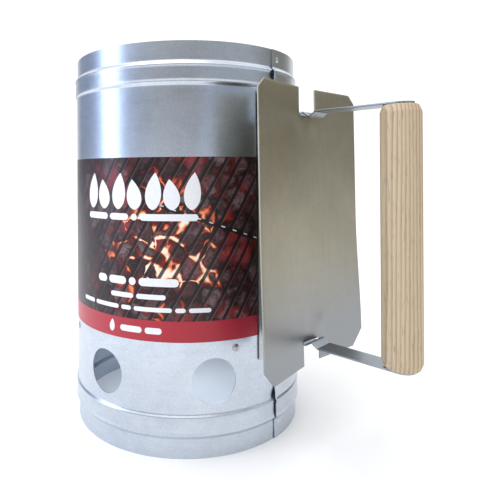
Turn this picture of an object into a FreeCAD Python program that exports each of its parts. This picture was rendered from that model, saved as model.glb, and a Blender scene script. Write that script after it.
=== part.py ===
"""Chimney charcoal starter: a sheet tube with a grate, a heat shield, a bent strap and a wooden grip.

Millimetres, +Z up. The starter stands on z = 0, and the handle points along +X. The origin lies on the
ground, under the middle of the whole object. Angles round the tube are counted from the handle.
"""
import FreeCAD, Part
import math
import os

import Sketcher
from FreeCAD import Placement, Rotation, Vector

DIMENSIONS = {
    # tube: the axis stands left of the origin, because the handle reaches out to the right
    "axis_x": -50.5,
    "shell_radius": 90.0,
    "shell_height": 278.0,
    "sheet": 0.6,
    "rim_radius": 89.4,
    "rim_height": 11.0,
    "bead_radius": 91.4,
    "bead_start": 13.5,
    "bead_end": 26.6,
    "bead_slope": 2.0,
    "bead_recess": 0.5,
    "band_height": 29.5,
    "lap_angle": 9.0,
    # vents
    "vent_radius": 15.3,
    "vent_level": 51.0,
    "vent_first_angle": 19.7,
    "vent_count": 7,
    # printed band
    "label_thickness": 0.15,
    "label_bottom": 77.3,
    "label_top": 200.6,
    "label_start_angle": -125.0,
    "label_sweep": 114.5,
    # grate: a square plate with its corners bent down along the wall
    "grate_side": 157.0,
    "grate_level": 81.0,
    "grate_thickness": 0.8,
    "grate_clearance": 0.2,
    "grate_hole_radius": 6.0,
    "grate_hole_pitch": 20.0,
    "tab_drop": 14.4,
    "tab_first_angle": -22.0,
    # rivets: each has a domed head outside and a flat one inside
    "rivet_level": 71.7,
    "rivet_shank_radius": 1.6,
    "rivet_head_radius": 2.6,
    "rivet_head_height": 0.9,
    "rivet_tail_radius": 2.4,
    "rivet_tail_height": 0.7,
    "rivet_hole_radius": 1.65,
    "rivet_seat": 0.05,
    "strap_rivet_middle": 153.5,
    "strap_rivet_pitch": 50.0,
    # plate between strap and tube
    "plate_thickness": 0.8,
    "plate_half_angle": 10.2,
    "plate_bottom": 60.0,
    "plate_top": 246.0,
    # strap: a flat bar bent to a U, with two crimps in each arm
    "strap_width": 15.0,
    "strap_thickness": 1.2,
    "arm_low": 75.9,
    "arm_high": 229.2,
    "strap_bend": 2.0,
    "strap_corner": 7.4,
    "crimp_spacing": 7.4,
    "crimp_half_width": 4.6,
    "crimp_height": 3.0,
    "screw_hole_radius": 3.0,
    "countersink": 1.1,
    # shield: it leans, so that its foot stands further out than its top
    "shield_thickness": 1.0,
    "shield_reach": 116.9,
    "shield_lean": 0.88,
    "shield_half_width": 58.5,
    "shield_sweep": 6.2,
    "shield_bottom": 63.0,
    "shield_top": 246.0,
    "notch_half_width": 9.75,
    "notch_play": 1.2,
    "top_chamfer_width": 7.0,
    "top_chamfer_height": 6.0,
    "bottom_chamfer_width": 10.8,
    "bottom_chamfer_height": 11.0,
    # grip and its countersunk screws, all on one upright axis
    "grip_reach": 181.0,
    "grip_radius": 11.4,
    "grip_taper_width": 1.8,
    "grip_taper_height": 4.2,
    "grip_gap": 0.15,
    "screw_shank_radius": 2.1,
    "screw_length": 24.0,
    "screw_point": 4.0,
    "screw_tip_radius": 0.2,
    "screw_head_radius": 4.0,
    "recess_length": 4.6,
    "recess_width": 0.9,
    "recess_depth": 1.2,
}
TABS = 4
STRAP_RIVETS = 3
GRATE_HOLES_EACH_WAY = 7

doc = FreeCAD.newDocument("chimney_starter")
sheet = doc.addObject("Spreadsheet::Sheet", "dims")
for row, (name, number) in enumerate(DIMENSIONS.items(), start=1):
    sheet.set(f"A{row}", name)
    sheet.set(f"B{row}", str(number))
    sheet.setAlias(f"B{row}", name)
doc.recompute()

# Expressions that several pieces share.
INNER_WALL = "dims.shell_radius - dims.sheet"
LAP_OUTSIDE = "dims.shell_radius + dims.sheet"
PLATE_OUTSIDE = f"{LAP_OUTSIDE} + dims.plate_thickness"
WEB_OUTSIDE = f"{PLATE_OUTSIDE} + dims.strap_thickness"
HALF_STRAP = "dims.strap_thickness / 2"
LOW_ARM_TOP = f"dims.arm_low + {HALF_STRAP}"
LOW_ARM_UNDERSIDE = f"dims.arm_low - {HALF_STRAP}"
HIGH_ARM_TOP = f"dims.arm_high + {HALF_STRAP}"
HIGH_ARM_UNDERSIDE = f"dims.arm_high - {HALF_STRAP}"
ARM_END = "dims.grip_reach + dims.strap_width / 2"
LEAN = "dims.shield_lean * 1 deg"


def value(expression):
    """The number that an expression has with the sheet's present cells."""
    return float(sheet.evalExpression(expression))


def bind(thing, **expressions):
    """Tie properties of a feature to expressions on the sheet."""
    for name, expression in expressions.items():
        thing.setExpression(name, expression)


def place(thing, x="0", y="0", z="0", turn=None, axis=Vector(0, 0, 1)):
    """Bind a piece's place, and its turn about one axis in degrees."""
    if turn is not None:
        thing.Placement = Placement(Vector(), Rotation(axis, value(turn) or 1.0))
        thing.setExpression("Placement.Rotation.Angle", turn)
    for letter, expression in zip("xyz", (x, y, z)):
        thing.setExpression(f"Placement.Base.{letter}", expression)


# ---------------------------------------------------------------- bodies and sketches

def new_body(name, x="dims.axis_x"):
    body = doc.addObject("PartDesign::Body", name)
    body.Label = name
    place(body, x=x)
    return body


def origin_feature(body, role):
    return next(feature for feature in body.Origin.OriginFeatures if feature.Role == role)


def new_sketch(body, name, role, turn=None, lift=None):
    """A sketch on an origin plane, turned about the tube's axis or lifted along the plane's normal."""
    sketch = body.newObject("Sketcher::SketchObject", name)
    sketch.AttachmentSupport = [(origin_feature(body, role), "")]
    sketch.MapMode = "FlatFace"
    if turn is not None:
        sketch.AttachmentOffset = Placement(Vector(), Rotation(Vector(0, 1, 0), value(turn)))
        sketch.setExpression("AttachmentOffset.Rotation.Angle", turn)
    if lift is not None:
        sketch.setExpression("AttachmentOffset.Base.z", lift)
    return sketch


def fix_point(sketch, geometry, point, x, y):
    """Hold one point of a sketch at two expressions from the sketch's origin."""
    for kind, expression in (("DistanceX", x), ("DistanceY", y)):
        constraint = Sketcher.Constraint(kind, -1, 1, geometry, point, value(expression))
        index = sketch.addConstraint(constraint)
        sketch.setExpression(f"Constraints[{index}]", expression)


def add_outline(sketch, corners):
    """Draw a closed run of straight edges through corners given as pairs of expressions."""
    points = [Vector(value(x), value(y), 0) for x, y in corners]
    first = sketch.GeometryCount
    for start, end in zip(points, points[1:] + points[:1]):
        sketch.addGeometry(Part.LineSegment(start, end), False)
    for number, (x, y) in enumerate(corners):
        following = (number + 1) % len(corners)
        sketch.addConstraint(Sketcher.Constraint("Coincident", first + number, 2, first + following, 1))
        fix_point(sketch, first + number, 1, x, y)


def add_circle(sketch, x, y, radius):
    middle = Vector(value(x), value(y), 0)
    circle = sketch.addGeometry(Part.Circle(middle, Vector(0, 0, 1), value(radius)), False)
    fix_point(sketch, circle, 3, x, y)
    index = sketch.addConstraint(Sketcher.Constraint("Radius", circle, value(radius)))
    sketch.setExpression(f"Constraints[{index}]", radius)


def revolve(body, name, sketch, angle="360"):
    """Turn a sketch about the body's upright axis, counter-clockwise from above."""
    feature = body.newObject("PartDesign::Revolution", name)
    feature.Profile = sketch
    feature.ReferenceAxis = (sketch, ["V_Axis"])
    bind(feature, Angle=angle)
    return feature


def pad(body, name, sketch, length, both_ways=False):
    feature = body.newObject("PartDesign::Pad", name)
    feature.Profile = sketch
    feature.SideType = "Symmetric" if both_ways else "One side"
    bind(feature, Length=length)
    return feature


def pocket(body, name, sketch, towards_normal=True):
    """Cut a sketch through everything on one side of its plane, and make sure that it cuts."""
    doc.recompute()
    before = body.Shape.Volume
    feature = body.newObject("PartDesign::Pocket", name)
    feature.Profile = sketch
    feature.Type = "ThroughAll"
    feature.Reversed = towards_normal
    doc.recompute()
    if feature.Shape.Volume >= before:
        raise RuntimeError(f"{name} cuts nothing")
    return feature


def polar_pattern(body, name, feature, angle, count):
    pattern = body.newObject("PartDesign::PolarPattern", name)
    pattern.Originals = [feature]
    pattern.Axis = (origin_feature(body, "Z_Axis"), [""])
    bind(pattern, Angle=angle, Occurrences=count)
    body.Tip = pattern
    return pattern


def edges_of(body, belongs):
    """The body's present feature and the names of its edges for which belongs(edge) is true."""
    doc.recompute()
    edges = enumerate(body.Tip.Shape.Edges, start=1)
    chosen = [f"Edge{number}" for number, edge in edges if belongs(edge)]
    if not chosen:
        raise RuntimeError(f"{body.Name} has no such edge")
    return body.Tip, chosen


def fillet_edges(body, name, radius, belongs):
    base = edges_of(body, belongs)
    fillet = body.newObject("PartDesign::Fillet", name)
    fillet.Base = base
    bind(fillet, Radius=radius)
    return fillet


def chamfer_edges(body, name, size, belongs):
    base = edges_of(body, belongs)
    chamfer = body.newObject("PartDesign::Chamfer", name)
    chamfer.Base = base
    bind(chamfer, Size=size)
    return chamfer


# ---------------------------------------------------------------- primitives and booleans

def primitive(kind, name, **expressions):
    thing = doc.addObject(f"Part::{kind}", name)
    bind(thing, **expressions)
    return thing


def combined(kind, name, pieces):
    thing = doc.addObject(f"Part::{kind}", name)
    thing.Shapes = pieces
    return thing


def difference(name, base, tool):
    thing = doc.addObject("Part::Cut", name)
    thing.Base = base
    thing.Tool = tool
    return thing


# ---------------------------------------------------------------- tube and what is fixed to it

def wall_line():
    """Outside of the tube from foot to rim, as radius and height: the same beads near both ends."""
    recess = "dims.bead_radius - dims.bead_recess"
    band = [
        ("dims.rim_radius", "0"),
        ("dims.rim_radius", "dims.rim_height"),
        ("dims.bead_radius", "dims.bead_start"),
        (recess, "dims.bead_start + dims.bead_slope"),
        (recess, "dims.bead_end - dims.bead_slope"),
        ("dims.bead_radius", "dims.bead_end"),
        ("dims.shell_radius", "dims.band_height"),
    ]
    upper = [(radius, f"dims.shell_height - ({level})") for radius, level in reversed(band)]
    return band + upper


def make_body_shell():
    body = new_body("body_shell")
    outside = wall_line()
    inside = [(f"{radius} - dims.sheet", level) for radius, level in reversed(outside)]
    wall = new_sketch(body, "wall_profile", "XZ_Plane")
    add_outline(wall, outside + inside)
    revolve(body, "rolled_wall", wall)

    over = [(f"{radius} + dims.sheet", level) for radius, level in reversed(outside)]
    lap = new_sketch(body, "lap_profile", "XZ_Plane")
    add_outline(lap, outside + over)
    revolve(body, "lapped_seam", lap, "dims.lap_angle")

    vent = new_sketch(body, "vent_outline", "YZ_Plane", turn="dims.vent_first_angle")
    add_circle(vent, "0", "dims.vent_level", "dims.vent_radius")
    first_vent = pocket(body, "first_vent", vent)
    polar_pattern(body, "vents", first_vent, "360", "dims.vent_count")

    hole = new_sketch(body, "grate_rivet_outline", "YZ_Plane", turn="dims.tab_first_angle")
    add_circle(hole, "0", "dims.rivet_level", "dims.rivet_hole_radius")
    first_hole = pocket(body, "first_grate_rivet_hole", hole)
    polar_pattern(body, "grate_rivet_holes", first_hole, "360", str(TABS))

    cut_strap_rivet_holes(body)
    return body


def cut_strap_rivet_holes(body):
    holes = new_sketch(body, f"{body.Name}_rivet_outlines", "YZ_Plane")
    for number in range(STRAP_RIVETS):
        add_circle(holes, "0", strap_rivet_level(number), "dims.rivet_hole_radius")
    pocket(body, f"{body.Name}_rivet_holes", holes)


def strap_rivet_level(number):
    return f"dims.strap_rivet_middle + {number - (STRAP_RIVETS - 1) / 2} * dims.strap_rivet_pitch"


def make_wall_band(name, inner, thickness, bottom, top, start, sweep):
    """A thin plate that follows the tube over an angle."""
    body = new_body(name)
    sketch = new_sketch(body, f"{name}_section", "XZ_Plane", turn=start)
    outer = f"{inner} + {thickness}"
    add_outline(sketch, [(inner, bottom), (outer, bottom), (outer, top), (inner, top)])
    revolve(body, f"{name}_band", sketch, sweep)
    return body


def make_label():
    return make_wall_band("label", "dims.shell_radius", "dims.label_thickness", "dims.label_bottom",
                          "dims.label_top", "dims.label_start_angle", "dims.label_sweep")


def make_backing_plate():
    body = make_wall_band("strap_backing_plate", LAP_OUTSIDE, "dims.plate_thickness", "dims.plate_bottom",
                          "dims.plate_top", "-dims.plate_half_angle", "2 * dims.plate_half_angle")
    cut_strap_rivet_holes(body)
    return body


def make_grate():
    """Square plate that rests inside the tube on four pointed tabs, its own corners bent down."""
    tab_outside = f"{INNER_WALL} - dims.grate_clearance"
    tab_inside = f"{tab_outside} - dims.grate_thickness"
    plate_underside = "dims.grate_level - dims.grate_thickness"
    tab_point = "dims.rivet_level - dims.tab_drop"
    corner_angle = "dims.tab_first_angle + 45"

    square = primitive("Box", "grate_square", Length="dims.grate_side", Width="dims.grate_side",
                       Height="dims.grate_thickness")
    half_diagonal = "dims.grate_side / sqrt(2)"
    place(square, x=f"-({half_diagonal}) * cos(dims.tab_first_angle * 1 deg)",
          y=f"-({half_diagonal}) * sin(dims.tab_first_angle * 1 deg)", z=plate_underside,
          turn=f"{corner_angle} - 90")
    disc = primitive("Cylinder", "grate_disc", Radius=tab_outside, Height="dims.grate_thickness")
    place(disc, z=plate_underside)
    plate = combined("MultiCommon", "grate_plate", [square, disc])

    tab_height = f"dims.grate_level - ({tab_point})"
    tab_wall = primitive("Cylinder", "tab_wall", Radius=tab_outside, Height=tab_height)
    tab_space = primitive("Cylinder", "tab_space", Radius=tab_inside, Height=tab_height)
    place(tab_wall, z=tab_point)
    place(tab_space, z=tab_point)
    ring = difference("tab_ring", tab_wall, tab_space)
    corners = combined("MultiFuse", "tab_corners", [make_tab_corner(number, tab_point) for number in range(TABS)])
    tabs = combined("MultiCommon", "tabs", [ring, corners])

    blank = combined("MultiFuse", "grate_blank", [plate, tabs])
    holes = combined("MultiFuse", "grate_openings", grate_hole_tools())
    grate = difference("charcoal_grate", blank, holes)
    place(grate, x="dims.axis_x")
    return grate


def make_tab_corner(number, tab_point):
    """A square bar that lies along a tab's radius with one edge down, so that it cuts a pointed tab."""
    angle = value("dims.tab_first_angle") + number * 360 / TABS
    bar = primitive("Box", f"tab_corner_{number + 1}", Length="dims.shell_radius",
                    Width="dims.grate_side / 4", Height="dims.grate_side / 4")
    edge_down = Rotation(Vector(0, 0, 1), angle) * Rotation(Vector(1, 0, 0), 45)
    bar.Placement = Placement(Vector(), edge_down)
    bar.setExpression("Placement.Base.z", tab_point)
    return bar


def grate_hole_tools():
    """Perforations on a square grid in line with the plate, and one rivet hole through each tab."""
    pitch = value("dims.grate_hole_pitch")
    limit = value("dims.shell_radius - 2 * dims.grate_hole_radius")
    first_angle = value("dims.tab_first_angle")
    grid_turn = Rotation(Vector(0, 0, 1), first_angle + 45)
    steps = [number - (GRATE_HOLES_EACH_WAY - 1) / 2 for number in range(GRATE_HOLES_EACH_WAY)]
    tools = []
    for across in steps:
        for along in steps:
            if math.hypot(across, along) * pitch > limit:
                continue
            tool = primitive("Cylinder", f"grate_hole_{len(tools) + 1}", Radius="dims.grate_hole_radius",
                             Height="3 * dims.grate_thickness")
            spot = grid_turn.multVec(Vector(across * pitch, along * pitch, 0))
            tool.Placement = Placement(spot, Rotation())
            tool.setExpression("Placement.Base.z", "dims.grate_level - 2 * dims.grate_thickness")
            tools.append(tool)
    for number in range(TABS):
        tool = primitive("Cylinder", f"tab_hole_{number + 1}", Radius="dims.rivet_hole_radius",
                         Height="dims.shell_radius")
        outward = Rotation(Vector(0, 0, 1), first_angle + number * 360 / TABS) * Rotation(Vector(0, 1, 0), 90)
        tool.Placement = Placement(Vector(), outward)
        tool.setExpression("Placement.Base.z", "dims.rivet_level")
        tools.append(tool)
    return tools


def make_rivet(name, head_at, tail_at, level, angle):
    """Rivet along the tube's radius. The wall curves away from its flat tail, which seats a little inside."""
    seat = f"{tail_at} - dims.rivet_seat"
    cap_radius = ("(dims.rivet_head_radius ^ 2 + dims.rivet_head_height ^ 2)"
                  " / (2 * dims.rivet_head_height)")
    head = primitive("Sphere", f"{name}_head", Radius=cap_radius,
                     Angle1=f"asin(1 - dims.rivet_head_height / ({cap_radius}))")
    place(head, z=f"{head_at} + dims.rivet_head_height - ({cap_radius})")
    shank = primitive("Cylinder", f"{name}_shank", Radius="dims.rivet_shank_radius",
                      Height=f"{head_at} - ({seat})")
    place(shank, z=seat)
    tail = primitive("Cylinder", f"{name}_tail", Radius="dims.rivet_tail_radius",
                     Height="dims.rivet_tail_height")
    place(tail, z=f"{seat} - dims.rivet_tail_height")
    rivet = combined("MultiFuse", name, [head, shank, tail])
    outward = Rotation(Vector(0, 0, 1), angle) * Rotation(Vector(0, 1, 0), 90)
    rivet.Placement = Placement(Vector(), outward)
    rivet.setExpression("Placement.Base.x", "dims.axis_x")
    rivet.setExpression("Placement.Base.z", level)
    return rivet


def make_grate_rivets():
    tab_inside = f"{INNER_WALL} - dims.grate_clearance - dims.grate_thickness"
    return [make_rivet(f"grate_rivet_{number + 1}", "dims.shell_radius", tab_inside, "dims.rivet_level",
                       value("dims.tab_first_angle") + number * 360 / TABS)
            for number in range(TABS)]


def make_strap_rivets():
    return [make_rivet(f"strap_rivet_{number + 1}", WEB_OUTSIDE, INNER_WALL, strap_rivet_level(number), 0)
            for number in range(STRAP_RIVETS)]


# ---------------------------------------------------------------- strap and shield

def shield_reach_at(level):
    """How far the leaning shield's inner face stands from the tube's axis at a height."""
    return f"dims.shield_reach + (dims.shield_top - {level}) * tan({LEAN})"


def arm_line(arm, face, towards_middle):
    """One face of an arm from its root to its tip, dipping towards the middle at both crimps."""
    level = f"{arm} + {face} * {HALF_STRAP}"
    points = []
    for side in (-1, 1):
        middle = f"{shield_reach_at(arm)} + {side} * dims.crimp_spacing"
        peak = f"{level} + {towards_middle} * dims.crimp_height"
        points += [
            (f"{middle} - dims.crimp_half_width", level),
            (middle, peak),
            (f"{middle} + dims.crimp_half_width", level),
        ]
    return points + [(ARM_END, level)]


def edge_at(x, length):
    """A test for straight edges of one length whose middle is at one x."""
    place_x, exact = value(x), value(length)
    return lambda edge: abs(edge.CenterOfMass.x - place_x) < 0.01 and abs(edge.Length - exact) < 0.01


def screw_hole_rim(edge):
    """True for the rims of the two screw holes on the strap's outer faces."""
    outer = (value(LOW_ARM_UNDERSIDE), value(HIGH_ARM_TOP))
    around = 2 * math.pi * value("dims.screw_hole_radius")
    return (abs(edge.Length - around) < 0.01
            and min(abs(edge.CenterOfMass.z - level) for level in outer) < 0.01)


def make_handle_strap():
    body = new_body("handle_strap")
    side = new_sketch(body, "strap_side", "XZ_Plane")
    add_outline(side, [(PLATE_OUTSIDE, HIGH_ARM_TOP)]
                + arm_line("dims.arm_high", 1, -1)
                + arm_line("dims.arm_high", -1, -1)[::-1]
                + [(WEB_OUTSIDE, HIGH_ARM_UNDERSIDE), (WEB_OUTSIDE, LOW_ARM_TOP)]
                + arm_line("dims.arm_low", 1, 1)
                + arm_line("dims.arm_low", -1, 1)[::-1]
                + [(PLATE_OUTSIDE, LOW_ARM_UNDERSIDE)])
    pad(body, "flat_bar", side, "dims.strap_width", both_ways=True)
    fillet_edges(body, "inner_bends", "dims.strap_bend", edge_at(WEB_OUTSIDE, "dims.strap_width"))
    fillet_edges(body, "outer_bends", "dims.strap_bend + dims.strap_thickness",
                 edge_at(PLATE_OUTSIDE, "dims.strap_width"))
    fillet_edges(body, "round_tips", "dims.strap_corner", edge_at(ARM_END, "dims.strap_thickness"))

    screws = new_sketch(body, "screw_hole_outline", "XY_Plane")
    add_circle(screws, "dims.grip_reach", "0", "dims.screw_hole_radius")
    pocket(body, "screw_holes", screws)
    chamfer_edges(body, "countersinks", "dims.countersink", screw_hole_rim)
    cut_strap_rivet_holes(body)
    return body


def make_heat_shield():
    body = new_body("heat_shield")
    tip_x = "dims.shield_reach + dims.shield_sweep"
    plan = new_sketch(body, "shield_section", "XY_Plane", lift="dims.shield_bottom")
    add_outline(plan, [
        ("dims.shield_reach", "0"),
        (tip_x, "-dims.shield_half_width"),
        (f"{tip_x} + dims.shield_thickness", "-dims.shield_half_width"),
        ("dims.shield_reach + dims.shield_thickness", "0"),
        (f"{tip_x} + dims.shield_thickness", "dims.shield_half_width"),
        (tip_x, "dims.shield_half_width"),
    ])
    pad(body, "folded_sheet", plan, "dims.shield_top - dims.shield_bottom")

    trim = new_sketch(body, "notches_and_corners", "YZ_Plane")
    notch_floor = f"{HIGH_ARM_UNDERSIDE} - dims.notch_play"
    for edge_level, floor in (("dims.shield_top", notch_floor), ("dims.shield_bottom", LOW_ARM_TOP)):
        add_outline(trim, [
            ("-dims.notch_half_width", edge_level),
            ("dims.notch_half_width", edge_level),
            ("dims.notch_half_width", floor),
            ("-dims.notch_half_width", floor),
        ])
    for sign in ("-", ""):
        corner = f"{sign}dims.shield_half_width"
        add_outline(trim, [
            (corner, "dims.shield_top"),
            (f"{corner} * (1 - dims.top_chamfer_width / dims.shield_half_width)", "dims.shield_top"),
            (corner, "dims.shield_top - dims.top_chamfer_height"),
        ])
        add_outline(trim, [
            (corner, "dims.shield_bottom"),
            (f"{corner} * (1 - dims.bottom_chamfer_width / dims.shield_half_width)", "dims.shield_bottom"),
            (corner, "dims.shield_bottom + dims.bottom_chamfer_height"),
        ])
    pocket(body, "trimmed_sheet", trim)
    place(body, x=f"dims.axis_x + dims.shield_reach * (1 - cos({LEAN})) + dims.shield_top * sin({LEAN})",
          z=f"dims.shield_top * (1 - cos({LEAN})) - dims.shield_reach * sin({LEAN})",
          turn="dims.shield_lean", axis=Vector(0, -1, 0))
    return body


# ---------------------------------------------------------------- grip and its fasteners

GRIP_AXIS_X = "dims.axis_x + dims.grip_reach"
SCREW_CONE = "dims.screw_head_radius - dims.screw_shank_radius"
GRIP_BOTTOM = f"{LOW_ARM_TOP} + dims.grip_gap"
GRIP_TOP = f"{HIGH_ARM_UNDERSIDE} - dims.grip_gap"


def make_wood_grip():
    """Turned dowel with tapered ends and a blind countersunk screw hole in each."""
    body = new_body("wood_grip", x=GRIP_AXIS_X)
    depth = "dims.screw_length - dims.strap_thickness - dims.grip_gap"
    seat = f"{SCREW_CONE} - dims.strap_thickness - dims.grip_gap"
    hole = "dims.screw_shank_radius"
    end = "dims.grip_radius - dims.grip_taper_width"
    half = new_sketch(body, "grip_profile", "XZ_Plane")
    add_outline(half, [
        (f"{hole} + {seat}", GRIP_BOTTOM),
        (end, GRIP_BOTTOM),
        ("dims.grip_radius", f"{GRIP_BOTTOM} + dims.grip_taper_height"),
        ("dims.grip_radius", f"{GRIP_TOP} - dims.grip_taper_height"),
        (end, GRIP_TOP),
        (f"{hole} + {seat}", GRIP_TOP),
        (hole, f"{GRIP_TOP} - ({seat})"),
        (hole, f"{GRIP_TOP} - ({depth})"),
        ("0", f"{GRIP_TOP} - ({depth})"),
        ("0", f"{GRIP_BOTTOM} + {depth}"),
        (hole, f"{GRIP_BOTTOM} + {depth}"),
        (hole, f"{GRIP_BOTTOM} + {seat}"),
    ])
    revolve(body, "dowel", half)
    return body


def make_screw(name, face, flip):
    """Countersunk wood screw, flush with an arm's outer face; flip is True for the lower one."""
    head = primitive("Cone", f"{name}_head", Radius1="dims.screw_shank_radius",
                     Radius2="dims.screw_head_radius", Height=SCREW_CONE)
    place(head, z=f"-({SCREW_CONE})")
    shank = primitive("Cylinder", f"{name}_shank", Radius="dims.screw_shank_radius",
                      Height=f"dims.screw_length - dims.screw_point - ({SCREW_CONE})")
    place(shank, z="dims.screw_point - dims.screw_length")
    point = primitive("Cone", f"{name}_point", Radius1="dims.screw_tip_radius",
                      Radius2="dims.screw_shank_radius", Height="dims.screw_point")
    place(point, z="-dims.screw_length")
    blank = combined("MultiFuse", f"{name}_blank", [head, shank, point])
    slots = []
    for length, width in (("dims.recess_length", "dims.recess_width"), ("dims.recess_width", "dims.recess_length")):
        slot = primitive("Box", f"{name}_slot_{len(slots) + 1}", Length=length, Width=width,
                         Height="2 * dims.recess_depth")
        place(slot, x=f"-{length} / 2", y=f"-{width} / 2", z="-dims.recess_depth")
        slots.append(slot)
    cross = combined("MultiFuse", f"{name}_cross", slots)
    screw = difference(name, blank, cross)
    if flip:
        screw.Placement = Placement(Vector(), Rotation(Vector(1, 0, 0), 180))
    screw.setExpression("Placement.Base.x", GRIP_AXIS_X)
    screw.setExpression("Placement.Base.z", face)
    return screw


def make_grip_screws():
    return [make_screw("grip_screw_top", HIGH_ARM_TOP, False),
            make_screw("grip_screw_bottom", LOW_ARM_UNDERSIDE, True)]


# ---------------------------------------------------------------- whole object

def make_nodes():
    nodes = [make_body_shell(), make_label(), make_backing_plate(), make_grate()]
    nodes += make_grate_rivets()
    nodes += [make_handle_strap(), make_heat_shield()]
    nodes += make_strap_rivets()
    nodes += [make_wood_grip()]
    nodes += make_grip_screws()
    return nodes


def check_document(nodes):
    for thing in doc.Objects:
        if "Invalid" in thing.State or "Error" in thing.State:
            raise RuntimeError(f"{thing.Name}: {thing.State}")
    for node in nodes:
        if node.Shape.isNull() or not node.Shape.isValid() or len(node.Shape.Solids) != 1:
            raise RuntimeError(f"{node.Name} is not one valid solid")


def export_nodes(nodes):
    os.makedirs("parts", exist_ok=True)
    for node in nodes:
        node.Shape.exportStep(f"parts/{node.Label}.step")
        box = node.Shape.BoundBox
        print(f"{node.Label:22} {node.Shape.Volume:10.1f} mm3  x {box.XMin:7.1f} {box.XMax:7.1f}"
              f"  y {box.YMin:7.1f} {box.YMax:7.1f}  z {box.ZMin:7.1f} {box.ZMax:7.1f}")


pieces = make_nodes()
doc.recompute()
check_document(pieces)
export_nodes(pieces)
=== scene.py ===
"""Looks of a chimney charcoal starter: zinc sheet, a printed band, a heat shield and a wooden grip."""

import math

import bmesh
import bpy
import numpy as np
from mathutils import Matrix, Vector


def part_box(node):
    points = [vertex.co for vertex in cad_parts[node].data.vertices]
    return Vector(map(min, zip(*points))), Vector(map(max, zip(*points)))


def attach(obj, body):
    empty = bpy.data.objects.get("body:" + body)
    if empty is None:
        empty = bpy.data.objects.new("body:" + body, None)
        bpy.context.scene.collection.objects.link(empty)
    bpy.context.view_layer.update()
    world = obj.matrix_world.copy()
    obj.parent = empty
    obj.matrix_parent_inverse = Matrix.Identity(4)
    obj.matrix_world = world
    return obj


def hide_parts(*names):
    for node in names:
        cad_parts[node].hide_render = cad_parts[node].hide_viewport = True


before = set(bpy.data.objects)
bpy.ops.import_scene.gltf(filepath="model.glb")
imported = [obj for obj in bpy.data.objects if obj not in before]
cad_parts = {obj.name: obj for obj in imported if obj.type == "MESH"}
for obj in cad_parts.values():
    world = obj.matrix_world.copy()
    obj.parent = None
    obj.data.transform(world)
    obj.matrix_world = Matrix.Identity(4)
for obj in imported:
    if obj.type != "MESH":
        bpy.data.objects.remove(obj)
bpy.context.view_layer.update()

MM = 0.001

# ---------------------------------------------------------------- places taken from the frame

shell_low, shell_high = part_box("body_shell")
label_low, label_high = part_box("label")
shield_low, shield_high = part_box("heat_shield")
strap_low, strap_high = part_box("handle_strap")
grip_low, grip_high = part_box("wood_grip")

BEAD_RADIUS = (shell_high.y - shell_low.y) / 2
AXIS_X = shell_low.x + BEAD_RADIUS
HEIGHT = shell_high.z
BEAD_RISE = 1.4 * MM
RIM_DROP = 2.0 * MM
BODY_RADIUS = BEAD_RADIUS - BEAD_RISE
RIM_RADIUS = BEAD_RADIUS - RIM_DROP
GRIP_X = (grip_low.x + grip_high.x) / 2
GRIP_RADIUS = (grip_high.y - grip_low.y) / 2

# ---------------------------------------------------------------- helpers


def smoothstep(values):
    """An eased rise from 0 to 1, flat outside that range."""
    clipped = np.clip(values, 0.0, 1.0)
    return clipped * clipped * (3.0 - 2.0 * clipped)


def add_mesh(name, vertices, faces, smooth_angle=40):
    """A mesh object from a list of points and a list of faces, shaded smooth below an angle in degrees."""
    mesh = bpy.data.meshes.new(name)
    mesh.from_pydata([tuple(point) for point in vertices], [], [tuple(face) for face in faces])
    mesh.validate()
    mesh.polygons.foreach_set("use_smooth", [True] * len(mesh.polygons))
    mesh.set_sharp_from_angle(angle=math.radians(smooth_angle))
    thing = bpy.data.objects.new(name, mesh)
    bpy.context.scene.collection.objects.link(thing)
    return thing


def apply_modifier(thing, kind, smooth_angle=40, **settings):
    """Add one modifier, bake its result into the mesh and shade it again."""
    modifier = thing.modifiers.new(kind.lower(), kind)
    for name, setting in settings.items():
        setattr(modifier, name, setting)
    depsgraph = bpy.context.evaluated_depsgraph_get()
    mesh = bpy.data.meshes.new_from_object(thing.evaluated_get(depsgraph))
    thing.modifiers.clear()
    thing.data = mesh
    mesh.name = thing.name
    mesh.polygons.foreach_set("use_smooth", [True] * len(mesh.polygons))
    mesh.set_sharp_from_angle(angle=math.radians(smooth_angle))


def eased_corner(start, corner, end, count=5):
    """Points of a small curve that replaces a corner of a profile."""
    points = []
    for step in range(count + 1):
        t = step / count
        points.append(tuple((1 - t) ** 2 * a + 2 * t * (1 - t) * b + t * t * c
                            for a, b, c in zip(start, corner, end)))
    return points


def lathe(name, profile, x, count, smooth_angle=35):
    """A solid turned about an upright axis at x. The profile is (radius, z) from one point on the axis
    to another, with the upper end last for faces that look outwards."""
    vertices = [(x, 0, profile[0][1])]
    rings = []
    for radius, z in profile[1:-1]:
        rings.append(list(range(len(vertices), len(vertices) + count)))
        for number in range(count):
            angle = 2 * math.pi * number / count
            vertices.append((x + radius * math.cos(angle), radius * math.sin(angle), z))
    vertices.append((x, 0, profile[-1][1]))
    last = len(vertices) - 1
    following = [(number + 1) % count for number in range(count)]
    faces = [(0, rings[0][following[k]], rings[0][k]) for k in range(count)]
    for lower, upper in zip(rings, rings[1:]):
        faces += [(lower[k], lower[following[k]], upper[following[k]], upper[k]) for k in range(count)]
    faces += [(last, rings[-1][k], rings[-1][following[k]]) for k in range(count)]
    return add_mesh(name, vertices, faces, smooth_angle)


def dress(thing, body, slot, material, *nodes):
    """Give a new piece its body, its material and the CAD nodes that it stands for. The slot argument is
    not used.
    """
    thing.data.materials.clear()
    thing.data.materials.append(material)
    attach(thing, body)
    if nodes:
        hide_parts(*nodes)


def dress_node(name, material):
    """Give a CAD node that stays in view a finer material."""
    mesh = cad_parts[name].data
    mesh.materials.clear()
    mesh.materials.append(material)


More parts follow.
